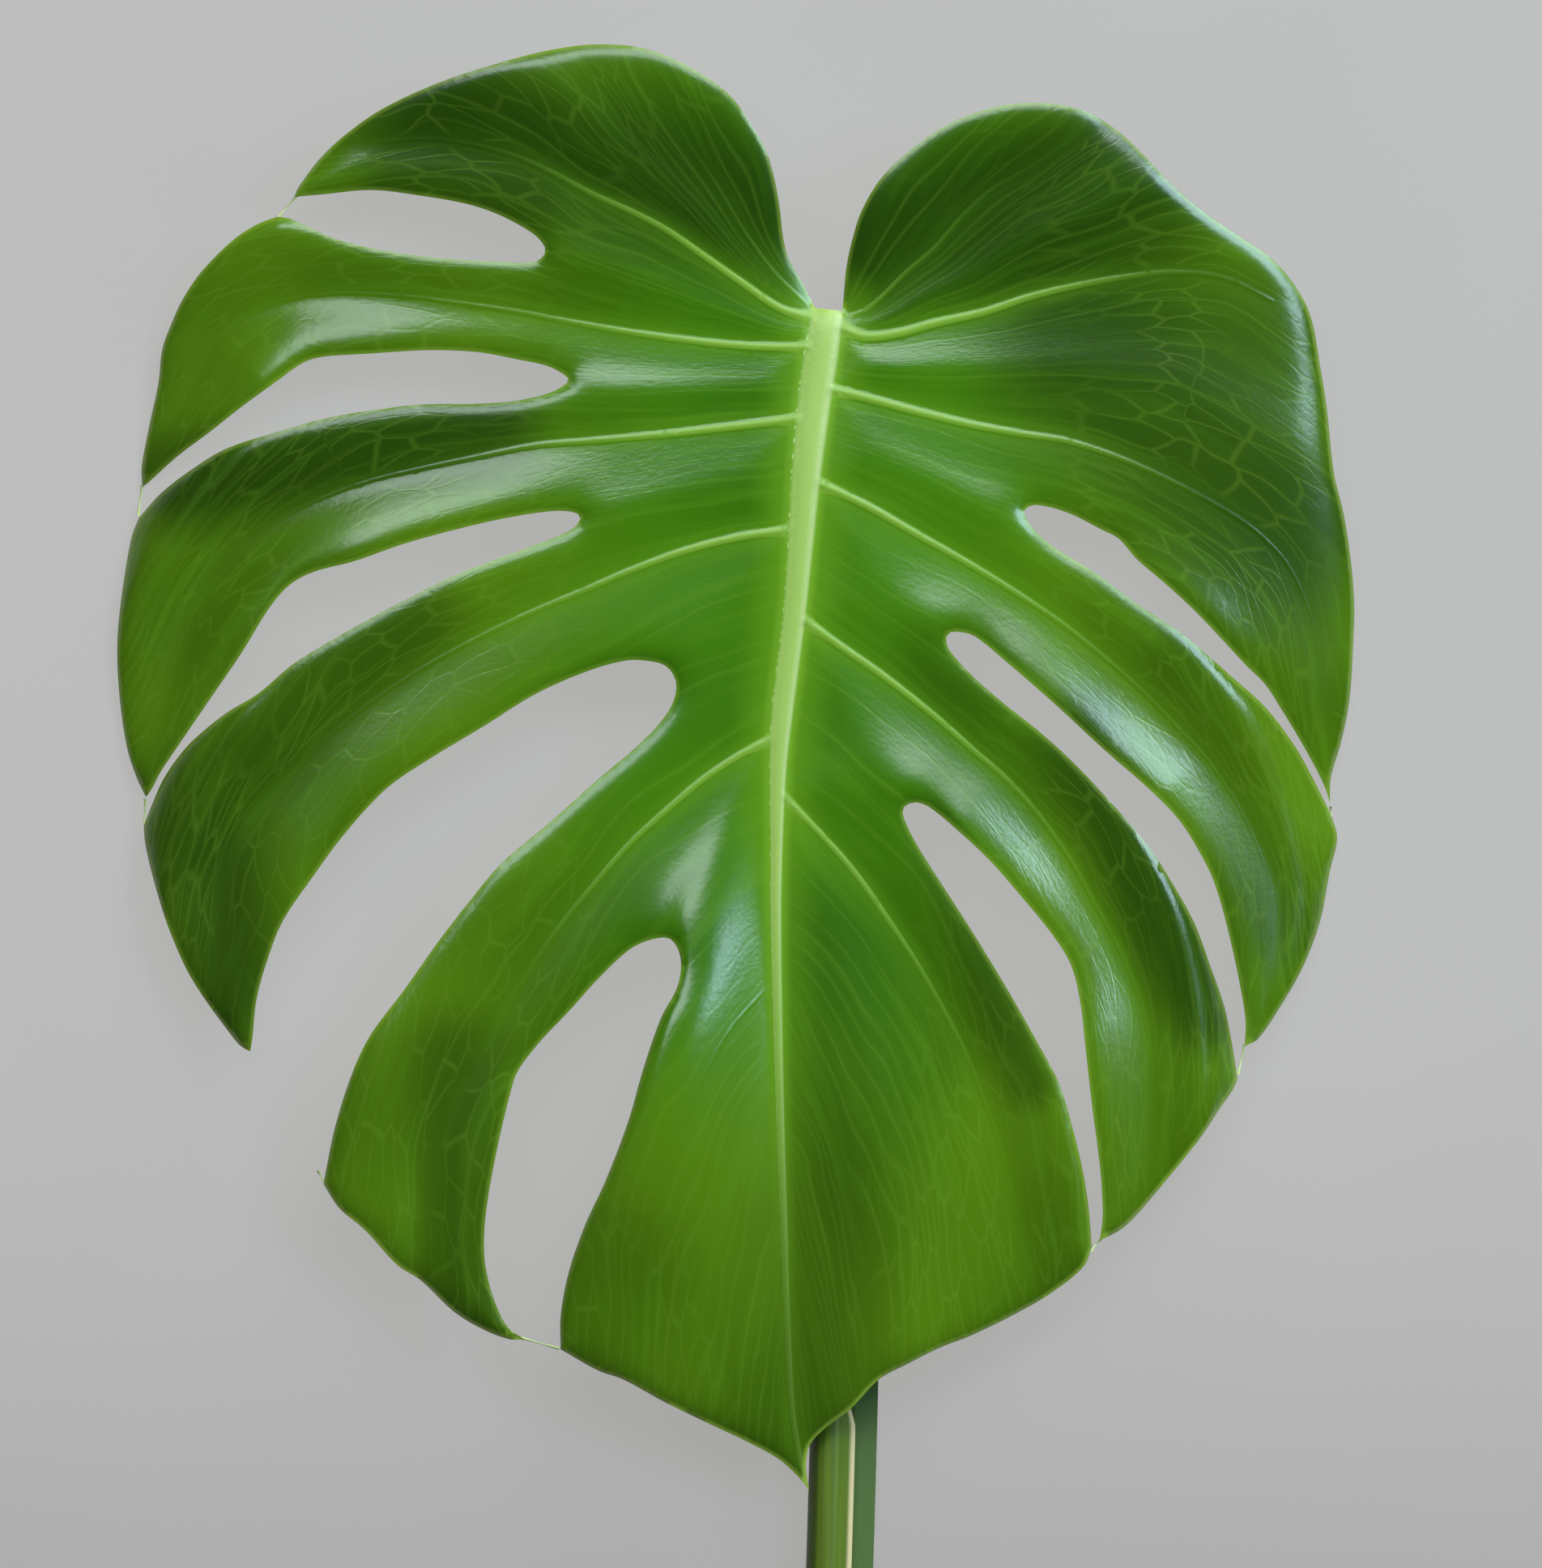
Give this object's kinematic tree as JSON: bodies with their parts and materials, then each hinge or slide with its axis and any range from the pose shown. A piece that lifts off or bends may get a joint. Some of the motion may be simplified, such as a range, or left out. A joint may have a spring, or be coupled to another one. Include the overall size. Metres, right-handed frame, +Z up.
{
  "type": "monstera leaf",
  "caption": "Picked monstera leaf lying face up: a glossy heart-shaped blade cut into lobes, quilted between raised veins, on its round stalk with a sheath.",
  "frame": {"origin": "centre of the footprint, on the surface that the leaf lies on", "axes": "+Z up, out of the leaf's upper face. +Y runs from the tip to the notch where the stalk joins. +X is to the right seen from above."},
  "size_m": [0.3053, 0.4038, 0.0319],
  "materials": {
    "blade_green": "deep green leaf skin with a soft waxy gloss, paler along the veins and at the margin",
    "stalk_green": "smooth olive green stalk, with a cream dry edge on its sheath"
  },
  "bodies": {
    "root": {"blade": "blade_green", "petiole": "stalk_green"}
  },
  "joints": []
}
